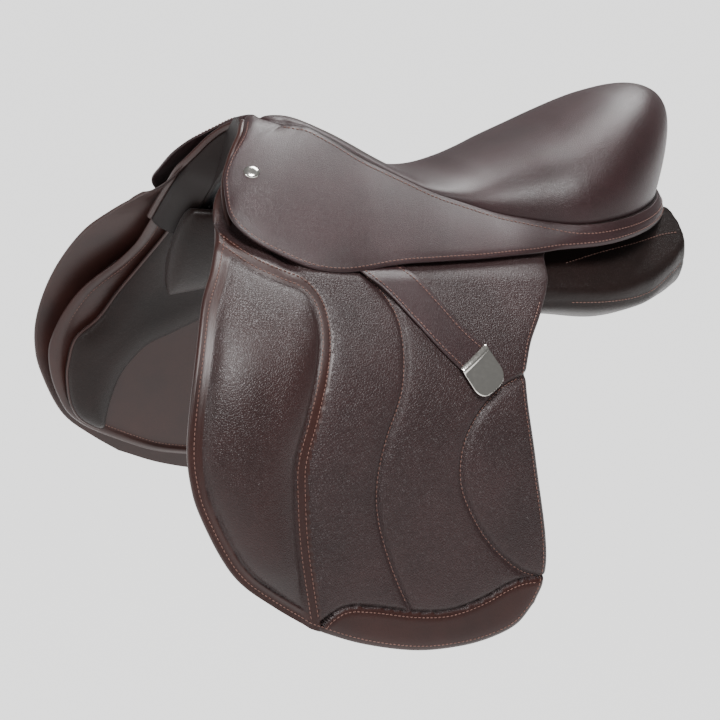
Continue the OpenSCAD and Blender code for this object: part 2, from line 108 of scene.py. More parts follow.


# %% [markdown]
# Full-grain leather is tanned hide. Its surface is a net of fine creases round little pebbles, printed or
# natural, with colour that drifts over a hand's width and a waxed finish that shines where the grain is
# flat. A Voronoi net gives the creases, a finer noise the pores, and both go into bump and roughness. The
# colour is also darkened along the creases: that is painted shade.


# %% Leather
def leather(name, base, tint, grain_mm, crease, rough, coat, wrinkle_mm=0.0, shine=0.32):
    """Leather with pebbles of a real size. Creases and wrinkles are in millimetres; shine is its gloss."""
    material, shader = new_material(name)
    place = add(material, "ShaderNodeTexCoord").outputs["Object"]
    warp = add(material, "ShaderNodeTexNoise", {"Vector": place, "Scale": 260.0, "Detail": 2.0})
    shift = add(material, "ShaderNodeVectorMath", {0: warp.outputs["Color"], 1: (0.5, 0.5, 0.5)},
        operation="SUBTRACT")
    spread = add(material, "ShaderNodeVectorMath", {0: shift.outputs[0], 3: grain_mm * MM * 0.9},
        operation="SCALE")
    bent = add(material, "ShaderNodeVectorMath", {0: place, 1: spread.outputs[0]}, operation="ADD")
    net = add(material, "ShaderNodeTexVoronoi", {"Vector": bent.outputs[0], "Scale": 1 / (grain_mm * MM)},
        feature="DISTANCE_TO_EDGE")
    pebble = add(material, "ShaderNodeMapRange",
        {"Value": net.outputs["Distance"], "From Min": 0.0, "From Max": 0.28},
        interpolation_type="SMOOTHSTEP")
    pores = add(material, "ShaderNodeTexNoise",
        {"Vector": place, "Scale": 1 / (grain_mm * MM * 0.55), "Detail": 3.0})
    height = add(material, "ShaderNodeMath",
        {0: pores.outputs["Fac"], 1: 0.5, 2: pebble.outputs["Result"]}, operation="MULTIPLY_ADD")
    if wrinkle_mm:
        folds = add(material, "ShaderNodeTexNoise",
            {"Vector": place, "Scale": 1 / (wrinkle_mm * MM), "Detail": 4.0, "Distortion": 1.5})
        height = add(material, "ShaderNodeMath",
            {0: folds.outputs["Fac"], 1: 2.5, 2: height.outputs[0]}, operation="MULTIPLY_ADD")
    bump = add(material, "ShaderNodeBump",
        {"Height": height.outputs[0], "Strength": 0.75, "Distance": crease * MM})
    drift = add(material, "ShaderNodeTexNoise",
        {"Vector": place, "Scale": 14.0, "Detail": 4.0, "Roughness": 0.6})
    drift_range = add(material, "ShaderNodeMapRange",
        {"Value": drift.outputs["Fac"], "From Min": 0.35, "From Max": 0.7})
    mixed = add(material, "ShaderNodeMix", {0: drift_range.outputs[0], 6: srgb(base), 7: srgb(tint)},
        data_type="RGBA")
    # painted shade: the colour is darkened along the creases of the grain net
    painted_crease_shade = add(material, "ShaderNodeMapRange",
        {"Value": pebble.outputs["Result"], "To Min": 0.72, "To Max": 1.0})
    coloured = add(material, "ShaderNodeMix", {0: 1.0, 6: mixed.outputs[2], 7: painted_crease_shade.outputs[0]},
        data_type="RGBA", blend_type="MULTIPLY")
    gloss = add(material, "ShaderNodeMapRange",
        {"Value": pores.outputs["Fac"], "To Min": rough - 0.06, "To Max": rough + 0.08})
    links = material.node_tree.links
    links.new(coloured.outputs[2], shader.inputs["Base Color"])
    links.new(gloss.outputs[0], shader.inputs["Roughness"])
    links.new(bump.outputs[0], shader.inputs["Normal"])
    shader.inputs["IOR"].default_value = 1.5
    shader.inputs["Specular IOR Level"].default_value = shine
    shader.inputs["Coat Weight"].default_value = coat
    shader.inputs["Coat Roughness"].default_value = 0.38
    shader.inputs["Sheen Weight"].default_value = 0.03
    shader.inputs["Sheen Roughness"].default_value = 0.5
    return material


seat_leather = leather("seat_calf_leather", "#2f1a1c", "#231213", 1.3, 0.09, 0.40, 0.06)
grain_leather = leather("pebbled_cowhide", "#2d1b1b", "#221212", 1.9, 0.28, 0.44, 0.03)
roll_leather = leather("knee_roll_cowhide", "#2b1716", "#1f0e0d", 1.7, 0.18, 0.37, 0.08)
red_leather = leather("waxed_bridle_leather", "#331813", "#240f0c", 0.9, 0.04, 0.36, 0.10)
panel_leather = leather("soft_panel_leather", "#1d1210", "#130b09", 1.5, 0.12, 0.36, 0.0, 7.0, 0.17)
dark_leather = leather("black_brown_leather", "#170c0a", "#0f0706", 1.0, 0.05, 0.42, 0.0, 0.0, 0.15)
leathers = (seat_leather, grain_leather, roll_leather, red_leather, panel_leather, dark_leather)
print("leathers:", [made.name for made in leathers])

# %% [markdown]
# The small metal pieces are nickel silver and plated steel. Both are true metals: no diffuse colour, a
# low roughness on the polished ones, and fine scratches from handling that only the roughness shows. Film,
# moulded polymer and thread have a fine, even grain, so the leather function makes them too.


# %% Metal, webbing, film and thread
def metal(name, colour, rough, scratch_mm):
    """Polished or brushed metal with fine wear in its roughness."""
    material, shader = new_material(name)
    place = add(material, "ShaderNodeTexCoord").outputs["Object"]
    wear = add(material, "ShaderNodeTexNoise",
        {"Vector": place, "Scale": 1 / (scratch_mm * MM), "Detail": 6.0})
    gloss = add(material, "ShaderNodeMapRange",
        {"Value": wear.outputs["Fac"], "To Min": rough * 0.6, "To Max": rough * 1.5})
    material.node_tree.links.new(gloss.outputs[0], shader.inputs["Roughness"])
    shader.inputs["Base Color"].default_value = srgb(colour)
    shader.inputs["Metallic"].default_value = 1.0
    return material


def woven(name, colour, dark, thread_mm):
    """Flat woven webbing: crossed waves for the threads."""
    material, shader = new_material(name)
    place = add(material, "ShaderNodeTexCoord").outputs["Object"]
    threads = {"Vector": place, "Scale": 0.31 / (thread_mm * MM)}
    waves = [add(material, "ShaderNodeTexWave", threads, bands_direction=direction).outputs["Fac"]
        for direction in ("X", "Z")]
    weave = add(material, "ShaderNodeMath", {0: waves[0], 1: waves[1]}, operation="MULTIPLY")
    mixed = add(material, "ShaderNodeMix", {0: weave.outputs[0], 6: srgb(dark), 7: srgb(colour)},
        data_type="RGBA")
    bump = add(material, "ShaderNodeBump", {"Height": weave.outputs[0], "Distance": 0.2 * MM})
    links = material.node_tree.links
    links.new(mixed.outputs[2], shader.inputs["Base Color"])
    links.new(bump.outputs[0], shader.inputs["Normal"])
    shader.inputs["Roughness"].default_value = 0.85
    return material


nickel = metal("polished_nickel_silver", "#d9d6cf", 0.16, 3.0)
steel = metal("plated_steel", "#b9babb", 0.30, 2.0)
webbing = woven("nylon_webbing", "#b8b0a0", "#6e6759", 1.2)
film = leather("air_cell_film", "#33506e", "#2b4560", 2.5, 0.05, 0.35, 0.2)
polymer = leather("moulded_tree_polymer", "#202022", "#19191b", 0.8, 0.03, 0.45, 0.0)
thread = leather("bonded_thread", "#7a5a51", "#61443c", 0.4, 0.05, 0.6, 0.0)
print("other finishes:", [made.name for made in (nickel, steel, webbing, film, polymer, thread)])

# %% [markdown]
# The flap hangs on one surface, a roof that bends into a near-vertical side. The same formula as in the
# frame gives its half width at each height, and a spline draws each cut edge through a few points.

# %% The side surface and its outlines
BEND_W, BEND_Z, BEND_R = 196.0, -62.0, 24.0
ROOF_SLOPE, DROP_SLOPE = 1.15, 0.20


def side_w(z):
    """Half width of the flap's outer face at height z, in millimetres."""
    run = (np.asarray(z, float) - BEND_Z) / BEND_R
    return BEND_W - DROP_SLOPE * run * BEND_R - (ROOF_SLOPE - DROP_SLOPE) * BEND_R * np.logaddexp(0, run)


def smooth_step(t):
    """A ramp from 0 to 1 with soft ends."""
    t = np.clip(t, 0, 1)
    return t * t * (3 - 2 * t)


def spline(points, count, closed=False, even=True):
    """A Catmull-Rom curve through the points, with count points evenly apart."""
    p = np.array(points, float)
    p = np.vstack([p[-1:], p, p[:2]]) if closed else np.vstack([2 * p[0] - p[1], p, 2 * p[-1] - p[-2]])
    t = np.linspace(0, 1, 16, endpoint=False)[:, None]
    spans = [
        0.5 * (2 * b + (c - a) * t + (2 * a - 5 * b + 4 * c - d) * t**2 + (3 * b - a - 3 * c + d) * t**3)
        for a, b, c, d in zip(p, p[1:], p[2:], p[3:])
    ]
    line = np.vstack(spans + [p[-2:-1]])
    run = np.arange(len(line), dtype=float)
    if even:
        run = np.concatenate([[0], np.cumsum(np.linalg.norm(np.diff(line, axis=0), axis=1))])
    want = np.linspace(0, run[-1], count + 1 if closed else count)[: count]
    return np.stack([np.interp(want, run, line[:, k]) for k in range(p.shape[1])], 1)


def distance_to(points, line):
    """Distance of each 2D point to a polyline."""
    best = np.full(len(points), 1e9)
    for a, b in zip(line, line[1:]):
        d = b - a
        t = np.clip(((points - a) @ d) / max(d @ d, 1e-9), 0, 1)
        best = np.minimum(best, np.linalg.norm(points - a - t[:, None] * d, axis=1))
    return best


def inside(points, polygon):
    """Which 2D points lie inside the polygon."""
    x, z = points[:, 0], points[:, 1]
    hit = np.zeros(len(points), bool)
    for (xa, za), (xb, zb) in zip(polygon, np.roll(polygon, -1, axis=0)):
        crosses = (za > z) != (zb > z)
        hit ^= crosses & (x < (xb - xa) * (z - za) / (zb - za + 1e-12) + xa)
    return hit


def new_piece(name, verts_mm, faces, materials, side="off", face_slots=None):
    """A smooth mesh object. The near side is the off side mirrored."""
    verts = np.array(verts_mm, float) * MM
    if side == "near":
        verts[:, 1] *= -1
        faces = [tuple(reversed(f)) for f in faces]
    mesh = bpy.data.meshes.new(name)
    mesh.from_pydata(verts.tolist(), [], [tuple(int(i) for i in f) for f in faces])
    for material in materials:
        mesh.materials.append(material)
    mesh.polygons.foreach_set("use_smooth", [True] * len(mesh.polygons))
    if face_slots is not None:
        mesh.polygons.foreach_set("material_index", list(face_slots))
    mesh.update()
    piece = bpy.data.objects.new(name, mesh)
    bpy.context.scene.collection.objects.link(piece)
    return piece


def grid_faces(rows, columns, closed=False):
    """Quads of a grid of points, row after row."""
    wrap = columns if closed else columns - 1
    faces = []
    for i in range(rows - 1):
        here, there = i * columns, (i + 1) * columns
        for j in range(wrap):
            k = (j + 1) % columns
            faces.append((here + j, here + k, there + k, there + j))
    return faces


def shell(outer, inner, rim_out):
    """Points and faces of a sheet with two faces, and a rounded edge pushed out by rim_out."""
    rows, columns = outer.shape[:2]
    count = rows * columns
    edge = (
        list(range(columns))
        + [i * columns + columns - 1 for i in range(1, rows)]
        + [(rows - 1) * columns + j for j in range(columns - 2, -1, -1)]
        + [i * columns for i in range(rows - 2, 0, -1)]
    )
    flat_outer, flat_inner = outer.reshape(-1, 3), inner.reshape(-1, 3)
    middle = (flat_outer[edge] + flat_inner[edge]) / 2
    grid = np.arange(count).reshape(rows, columns)
    step_in = np.clip(np.stack(np.unravel_index(edge, (rows, columns)), 1), [1, 1], [rows - 2, columns - 2])
    inward = flat_outer[grid[step_in[:, 0], step_in[:, 1]]] - flat_outer[edge]
    inward /= np.linalg.norm(inward, axis=1)[:, None] + 1e-9
    middle -= inward * rim_out
    faces = grid_faces(rows, columns)
    faces += [tuple(count + i for i in reversed(f)) for f in grid_faces(rows, columns)]
    for k, here in enumerate(edge):
        ahead = (k + 1) % len(edge)
        there = edge[ahead]
        rim_here, rim_there = 2 * count + k, 2 * count + ahead
        faces.append((there, here, rim_here, rim_there))
        faces.append((rim_there, rim_here, count + here, count + there))
    return np.vstack([flat_outer, flat_inner, middle]), faces


print("half width of the flaps at the bend:", round(float(side_w(BEND_Z))), "mm")

# %% [markdown]
# Stitching is real thread, not a picture of it: each stitch is a small rounded bead about 3 mm long,
# sunk a little into the leather. One mesh holds all the stitches of a piece, so it stays light.


# %% Stitches
STITCH_MM, STITCH_GAP_MM, THREAD_MM = 2.6, 1.0, 0.95
PROUD_MM = 0.15
AIM_MM = 0.8


def bead(along, across, up):
    """Points and faces of one rounded stitch."""
    rings, sides = 4, 6
    points = []
    for i in range(rings + 1):
        a = math.pi * i / rings
        for k in range(sides):
            b = 2 * math.pi * k / sides
            points.append(
                along * (-math.cos(a)) + (across * math.cos(b) + up * math.sin(b)) * max(math.sin(a), 0.15)
            )
    return points, grid_faces(rings + 1, sides, closed=True)


def stitches(path, normals):
    """Stitches along a 3D path with the surface's normals, each lying along the path."""
    run = np.concatenate([[0], np.cumsum(np.linalg.norm(np.diff(path, axis=0), axis=1))])
    count = max(2, int(run[-1] / (STITCH_MM + STITCH_GAP_MM)))
    want = (np.arange(count) + 0.5) * run[-1] / count
    centres = np.stack([np.interp(want, run, path[:, k]) for k in range(3)], 1)
    ups = np.stack([np.interp(want, run, normals[:, k]) for k in range(3)], 1)
    ahead = np.stack([np.interp(want + AIM_MM, run, path[:, k]) for k in range(3)], 1)
    behind = np.stack([np.interp(want - AIM_MM, run, path[:, k]) for k in range(3)], 1)
    verts, faces = [], []
    for centre, up, a, b in zip(centres, ups, ahead, behind):
        along = (a - b) / (np.linalg.norm(a - b) + 1e-9)
        up = up / np.linalg.norm(up)
        across = np.cross(up, along)
        points, quads = bead(along * STITCH_MM / 2, across * THREAD_MM / 2, up * THREAD_MM / 2)
        start = len(verts)
        verts += [centre + up * PROUD_MM + p for p in points]
        faces += [tuple(start + i for i in q) for q in quads]
    return verts, faces


def sew(name, seams, side):
    """One object for several seams, each a (path, normals) pair."""
    verts, faces = [], []
    for path, normals in seams:
        v, f = stitches(path, normals)
        faces += [tuple(len(verts) + i for i in q) for q in f]
        verts += v
    return new_piece(name, verts, faces, [thread], side)


print("stitch pitch:", STITCH_MM + STITCH_GAP_MM, "mm")

# %% [markdown]
# The flap is cut from thick hide. A padded knee roll is sewn to its front behind a double-stitched strip,
# the rest is a quilted pebbled pad with two channels, and a smooth patch takes the wear at the bottom.
# One grid between four edges carries all of it, and the relief is a height worked out from the distance
# to each seam, so the leather stays in one piece as it does on the real flap.

# %% Flap outlines
FLAP_FRONT = [(-247, 60), (-262, 36), (-276, 12), (-290, -8), (-305, -30), (-318, -66), (-326, -100),
    (-329, -130), (-326, -155), (-319, -176), (-302, -208), (-285, -229), (-258, -248), (-231, -264)]
FLAP_BOTTOM = [(-231, -264), (-187, -279), (-140, -288), (-100, -288), (-70, -283), (-47, -274), (-31, -258)]
FLAP_REAR = [(17, 6), (2, -18), (-12, -36), (-30, -60), (-38, -92), (-32, -143), (-22, -205), (-22, -238),
    (-31, -258)]
FLAP_TOP = [(-247, 60), (-200, 38), (-140, 22), (-60, 13), (17, 6)]
ROLL_SEAM = [(-284, 20), (-258, 1), (-236, -8), (-219, -14), (-210, -24), (-208, -38), (-212, -60),
    (-228, -107), (-238, -138), (-239, -162), (-236, -204), (-226, -264)]
QUILT_FRONT = [(-170, -2), (-150, -22), (-143, -45), (-150, -87), (-166, -124), (-174, -156), (-173, -185),
    (-162, -220), (-145, -257)]
QUILT_REAR = [(-34, -78), (-62, -89), (-85, -109), (-98, -133), (-100, -160), (-90, -185), (-73, -209),
    (-48, -230), (-24, -239)]
PATCH_TOP = [(-226, -270), (-215, -257), (-199, -250), (-175, -252), (-140, -258), (-109, -259),
    (-80, -252), (-56, -242), (-38, -238), (-18, -239)]
FLAP_T = 5.0
ROLL_H = 14.0
STRIP_HALF = 4.8
ROLL_INSET, ROLL_SHOULDER, ROLL_BACK = 11.0, 34.0, 30.0
CORD_INSET, CORD_HALF, CORD_H = 9.0, 1.8, 1.6
PAD_BASE, PAD_STEP, PAD_PUFF = 1.2, 2.6, 2.4
CHANNEL_DEPTH, CHANNEL_HALF = 3.0, 2.1
GRAIN, SMOOTH, ROLL = 0, 1, 2
ROWS, COLUMNS = 190, 170

edge_front = spline(FLAP_FRONT, ROWS)
edge_rear = spline(FLAP_REAR, ROWS)
edge_top = spline(FLAP_TOP, COLUMNS)
edge_bottom = spline(FLAP_BOTTOM, COLUMNS)
roll_seam = spline(ROLL_SEAM, 90)
quilt_lines = [spline(QUILT_FRONT, 70), spline(QUILT_REAR, 60)]
patch_top = spline(PATCH_TOP, 70)
visible_rim = np.vstack([edge_front[::2], edge_bottom[::2], edge_rear[::-1][::2]])
roll_area = np.vstack([roll_seam, [[-226, -320], [-400, -320], [-400, 30]]])
patch_area = np.vstack([patch_top, [[0, -320], [-240, -320]]])
print("flap cut height:", round(float(np.ptp(visible_rim[:, 1]))), "mm")


def flap_pinch(x, z):
    """How far the flap's front edge is drawn in under the pommel."""
    return 27 * np.exp(-(((z - 38) / 30) ** 2)) * smooth_step((-232 - x) / 36)


def tuck(x, z):
    """How far the flap's top is sunk to pass under the skirt, and deeper behind the stirrup bar."""
    under_skirt = 9 * smooth_step((z + 12) / 16) * smooth_step((x + 240) / 25)
    behind_bar = 11 * smooth_step((z - 2) / 10) * smooth_step((x + 242) / 12) * smooth_step((-124 - x) / 12)
    return under_skirt + behind_bar


def flap_relief(xz, channels=True):
    """Height of the flap's outer face over the side surface, and which leather it is."""
    seam = distance_to(xz, roll_seam)
    rim = distance_to(xz, visible_rim)
    on_roll = inside(xz, roll_area)
    on_patch = inside(xz, patch_area)
    z = xz[:, 1]
    beyond = np.maximum(seam - STRIP_HALF, 0)
    height = ROLL_H * (0.35 + 0.65 * smooth_step((-z + 5) / 75)) * (1 - 0.45 * smooth_step((-z - 215) / 50))
    side_in = np.clip((rim - ROLL_INSET) / ROLL_SHOULDER, 0, 1)
    back_in = np.clip(beyond / ROLL_BACK, 0, 1)
    roll = height * np.sqrt(1 - (1 - back_in) ** 2) * np.sqrt(1 - (1 - side_in) ** 2)
    roll = roll * smooth_step(beyond / 5) + 2.2 * (1 - smooth_step(beyond / 4))
    roll += CORD_H * np.exp(-(((rim - CORD_INSET) / CORD_HALF) ** 2)) * smooth_step(beyond / 8)
    quilt = np.minimum(np.minimum(distance_to(xz, quilt_lines[0]), distance_to(xz, quilt_lines[1])),
        distance_to(xz, patch_top))
    if not channels:
        quilt = quilt + 40
    pad = PAD_BASE + PAD_STEP * (1 - np.exp(-beyond / 5)) + PAD_PUFF * (1 - np.exp(-quilt / 8))
    pad -= CHANNEL_DEPTH * np.exp(-((quilt / CHANNEL_HALF) ** 2)) + 3.0 * np.exp(-rim / 3.5)
    patch = 3.0 + 1.6 * np.sqrt(np.clip(distance_to(xz, patch_top) / 6, 0, 1)) - 2.6 * np.exp(-rim / 3)
    under_lobe = smooth_step((-214 - xz[:, 0]) / 12) * smooth_step((z + 34) / 14)
    pad = pad - 10 * under_lobe * (1 - np.exp(-beyond / 2.5))
    out = np.where(on_roll, roll, np.where(on_patch, patch, pad))
    strip = seam < STRIP_HALF
    out = np.where(strip, 3.2 - 0.9 * (seam / STRIP_HALF) ** 4, out)
    leather_kind = np.where(on_patch, SMOOTH, np.where(on_roll, ROLL, GRAIN))
    leather_kind = np.where(strip | (on_roll & (rim < CORD_INSET)), SMOOTH, leather_kind)
    return out - tuck(xz[:, 0], xz[:, 1]), leather_kind


def on_flap(xz, lift=0.0, channels=True):
    """3D points on the flap's outer face, for seams and straps."""
    x, z = xz.T
    relief, _ = flap_relief(xz, channels)
    return np.stack([x, side_w(z) - flap_pinch(x, z) + relief + lift, z], 1)


def side_normals(z):
    """Normals of the side surface at the heights z."""
    slope = DROP_SLOPE + (ROOF_SLOPE - DROP_SLOPE) / (1 + np.exp(-(np.asarray(z) - BEND_Z) / BEND_R))
    normal = np.stack([np.zeros_like(slope), np.ones_like(slope), slope], 1)
    return normal / np.linalg.norm(normal, axis=1)[:, None]


def bend_with_flap(piece):
    """Bakes the piece's transform into its mesh."""
    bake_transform(piece)


u = np.linspace(0, 1, COLUMNS)[None, :, None]
v = np.linspace(0, 1, ROWS)[:, None, None]
corners = (1 - u) * (1 - v) * edge_top[0] + u * (1 - v) * edge_top[-1]
corners = corners + (1 - u) * v * edge_bottom[0] + u * v * edge_bottom[-1]
flap_xz = (1 - v) * edge_top[None] + v * edge_bottom[None] + (1 - u) * edge_front[:, None]
flap_xz = flap_xz + u * edge_rear[:, None] - corners
flat_xz = flap_xz.reshape(-1, 2)
relief, kinds = flap_relief(flat_xz)
outer_face = on_flap(flat_xz).reshape(ROWS, COLUMNS, 3)
inner_face = outer_face.copy()
flap_x, flap_z = flap_xz[..., 0], flap_xz[..., 1]
inner_face[..., 1] = side_w(flap_z) - flap_pinch(flap_x, flap_z) - FLAP_T - tuck(flap_x, flap_z)
flap_points, flap_faces = shell(outer_face, inner_face, 0.8)
outer_slots = kinds.reshape(ROWS, COLUMNS)[:-1, :-1].ravel()
flap_slots = np.full(len(flap_faces), SMOOTH)
flap_slots[: len(outer_slots)] = outer_slots

for side in ("near", "off"):
    flap = new_piece(f"flap_leather_{side}", flap_points, flap_faces,
        [grain_leather, red_leather, roll_leather], side, flap_slots)
    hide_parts(*(f"{n}_{side}" for n in ("flap", "flap_head", "knee_roll", "seam_strip",
        "flap_pad", "bottom_patch")))
    bend_with_flap(flap)
print("flap points:", len(flap_points))

# %% [markdown]
# The seams of the flap: two rows on the strip behind the knee roll, one along each quilted channel, one
# inside the patch and one round the rim.


# %% Flap seams
def offset_line(line, away):
    """A 2D line moved sideways by a distance."""
    d = np.gradient(line, axis=0)
    d /= np.linalg.norm(d, axis=1)[:, None]
    return line + np.stack([-d[:, 1], d[:, 0]], 1) * away


def flap_seam(line, lift=0.0):
    """A seam on the flap: its path and the normals along it."""
    fine = spline(line[::2], len(line) * 3)
    return on_flap(fine, lift), side_normals(fine[:, 1])


flap_seams = [flap_seam(offset_line(roll_seam[3:-2], away)) for away in (-3.0, 3.0)]
flap_seams += [flap_seam(line[3:-2], 0.4) for line in quilt_lines]
flap_seams.append(flap_seam(offset_line(patch_top[3:-3], -3.5)))
inset_rim = offset_line(spline(visible_rim, 240), 4.0)
flap_seams.append(flap_seam(inset_rim[14:-10]))
for side in ("near", "off"):
    seams = sew(f"flap_stitching_{side}", flap_seams, side)
    bend_with_flap(seams)
print("seams on each flap:", len(flap_seams))

# %% [markdown]
# The seat is calfskin pulled over foam. In front it is a narrow dome over the twist of the tree, and at
# the back it fans round into the dished cantle. Every row of the grid is an arch that stands on the welt
# and reaches up to the ridge line in the middle, and the rear half of the welt is a formula.

# %% Seat
WELT = [(-209, 0, 92), (-204, 7, 92), (-197, 12, 91), (-191, 14, 90), (-187, 16, 91), (-183, 18, 92),
    (-178, 20, 92), (-172, 23, 92), (-165, 27, 89), (-157, 31, 85), (-148, 35, 80), (-138, 40, 74),
    (-128, 44, 69), (-116, 49, 64), (-99, 55, 57), (-74, 63, 47), (-49, 70, 40), (-16, 79, 32),
    (12, 90, 29), (34, 101, 28.5), (48, 105.5, 29), (60, 107, 30)]
SKIRT_EDGE = [(-221, 0, 94), (-230, 22, 86), (-242, 38, 75), (-252, 49, 66), (-260, 61, 54), (-264, 79, 38),
    (-264, 96, 25), (-252, 110, 13), (-229, 122, 2), (-205, 131, -6), (-181, 134, -8), (-158, 132, -6),
    (-138, 130, -3), (-119, 129, -1), (-99, 128, 0), (-76, 126, 1), (-52, 124, 2), (-24, 121, 4),
    (4, 118, 6), (28, 115, 9), (45, 114, 10.5), (60, 114, 12)]
RIDGE = [(-212, 93), (-200, 98.5), (-178, 98), (-150, 89), (-131, 81), (-112, 72), (-93, 64), (-72, 58),
    (-43, 60), (-10, 72), (34, 93), (60, 106), (81, 118), (107, 133), (120, 139), (134, 143.5), (146, 144),
    (157, 140), (167, 132), (174, 121), (179, 106), (182, 88)]
CANTLE_X, CANTLE_W, CANTLE_L = 60.0, 107.0, 122.0
CANTLE_LEAN, LEAN_OVER = 24.0, 90.0
SEAT_DISH, DISH_X, DISH_REACH = 5.0, 70.0, 90.0
TUCK_UNDER, TUCK_DEPTH = np.array([0.985, 0.95, 1]), 7
FRONT_ROWS, REAR_ROWS, ACROSS = 140, 90, 40
AROUND = FRONT_ROWS + REAR_ROWS

reach = np.sin(np.linspace(0, math.pi / 2, REAR_ROWS + 1)[1:])
rear_w = CANTLE_W * (1 - reach**2.2).clip(0) ** 0.65
rear_z = 30 + 22 * reach**1.25
rear_welt = np.stack([CANTLE_X + CANTLE_L * reach, rear_w, rear_z], 1)
rear_skirt = np.stack(
    [CANTLE_X + (CANTLE_L + 5) * reach, rear_w + 7 * (1 - reach**6), rear_z - 18 + 4 * reach], 1
)
welt_line = np.vstack([spline(WELT, FRONT_ROWS, even=False), rear_welt])
skirt_line = np.vstack([spline(SKIRT_EDGE, FRONT_ROWS, even=False), rear_skirt])
welt_line[0, 1] = welt_line[-1, 1] = skirt_line[0, 1] = skirt_line[-1, 1] = 0
ridge = spline(RIDGE, 300)
seat_grid = np.zeros((AROUND, ACROSS, 3))
arc = np.linspace(0, math.pi / 2, ACROSS)
for i, (x, w, zw) in enumerate(welt_line):
    rise = np.interp(x, ridge[:, 0], ridge[:, 1]) - zw
    lean = CANTLE_LEAN * max(0.0, (x - CANTLE_X) / CANTLE_L) ** 2
    along = max(0.0, 1 - ((x - DISH_X) / DISH_REACH) ** 2)
    dish = SEAT_DISH * along * (1 - np.sin(arc) ** 2 / 0.7).clip(0) ** 2
    height = rise * np.cos(arc) ** 0.8
    seat_grid[i] = np.stack([x + lean * height / LEAN_OVER, w * np.sin(arc), zw + height - dish], 1)

mirrored = seat_grid * np.array([1, -1, 1])
seat_points = np.vstack([seat_grid.reshape(-1, 3), mirrored.reshape(-1, 3)])
seat_faces = [tuple(reversed(f)) for f in grid_faces(AROUND, ACROSS)]
seat_faces += [tuple(AROUND * ACROSS + i for i in reversed(f)) for f in seat_faces]
lower = np.vstack([welt_line, welt_line[::-1] * np.array([1, -1, 1])]) * TUCK_UNDER
base = len(seat_points)
rim_ids = [i * ACROSS + ACROSS - 1 for i in range(AROUND)]
rim_ids += [AROUND * ACROSS + i * ACROSS + ACROSS - 1 for i in range(AROUND - 1, -1, -1)]
seat_points = np.vstack([seat_points, lower - np.array([0, 0, TUCK_DEPTH])])
for k, here in enumerate(rim_ids):
    ahead = (k + 1) % len(rim_ids)
    seat_faces.append((here, rim_ids[ahead], base + ahead, base + k))
seat = new_piece("seat", seat_points, seat_faces, [seat_leather])
weld = seat.modifiers.new("weld", "WELD")
weld.merge_threshold = 0.0002
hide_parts("seat_cover", "seat_foam")
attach(seat, "saddle")
print("seat points:", len(seat_points))


# %% [markdown]
# The welt is a thin leather cord sewn into the seam between seat and skirt. It is one cross-section
# carried along a path, and so are the piping and the pommel binding further down.


# %% Welt
def cord(path, diameter, steady, sides=8, closed=False):
    """Points and faces of a round cord along a path. steady is a direction that the path never takes."""
    ahead = np.roll(path, -1, axis=0) - np.roll(path, 1, axis=0) if closed else np.gradient(path, axis=0)
    ahead /= np.linalg.norm(ahead, axis=1)[:, None] + 1e-9
    level = np.cross(ahead, steady)
    level /= np.linalg.norm(level, axis=1)[:, None] + 1e-9
    stand = np.cross(level, ahead)
    angles = np.linspace(0, 2 * math.pi, sides, endpoint=False)
    rings = (
        path[:, None]
        + level[:, None] * (np.cos(angles) * diameter / 2)[None, :, None]
        + stand[:, None] * (np.sin(angles) * diameter / 2)[None, :, None]
    )
    faces = grid_faces(len(path), sides, closed=True)
    last = (len(path) - 1) * sides
    if closed:
        faces += [(last + k, last + (k + 1) % sides, (k + 1) % sides, k) for k in range(sides)]
    else:
        faces += [tuple(range(sides))[::-1], tuple(last + k for k in range(sides))]
    return rings.reshape(-1, 3), faces


WELT_D = 3.4
welt_loop = np.vstack([welt_line, (welt_line * np.array([1, -1, 1]))[-2:0:-1]])
out_from_middle = welt_loop * np.array([0.0, 0.012, 0]) + np.array([0, 0, -0.6])
welt_points, welt_faces = cord(welt_loop + out_from_middle, WELT_D, [0, 0, 1.0], sides=10, closed=True)
welt = new_piece("seat_welt_cord", welt_points, welt_faces, [dark_leather])
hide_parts("seat_welt")
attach(welt, "saddle")
welt_run = np.linalg.norm(np.diff(welt_loop, axis=0), axis=1).sum()
print("welt length:", round(float(welt_run)), "mm")

# %% [markdown]
# The skirt covers the stirrup bar. It is one piece from the pommel to the back of the cantle, sewn to the
# seat along the welt, with a row of stitching just inside its cut edge. Its front lobe is puffed out further.

# %% Skirts
SKIRT_T = 2.8
SKIRT_ROWS = 34
LOBE_X, LOBE_REACH = -170.0, 42.0
PUFF, LOBE_PUFF, EDGE_PRESS = 1.5, 3.0, 0.8
SKIRT_GAP, SEAM_HALF = 0.6, 0.8


def outward_normals(grid):
    """Unit normals of a grid of points, turned away from the saddle."""
    normal = np.cross(np.gradient(grid, axis=1), np.gradient(grid, axis=0))
    normal /= np.linalg.norm(normal, axis=2)[..., None] + 1e-9
    middle = normal[grid.shape[0] // 2, grid.shape[1] // 2]
    return normal * np.sign(middle @ np.array([0, 1, 0.4]))


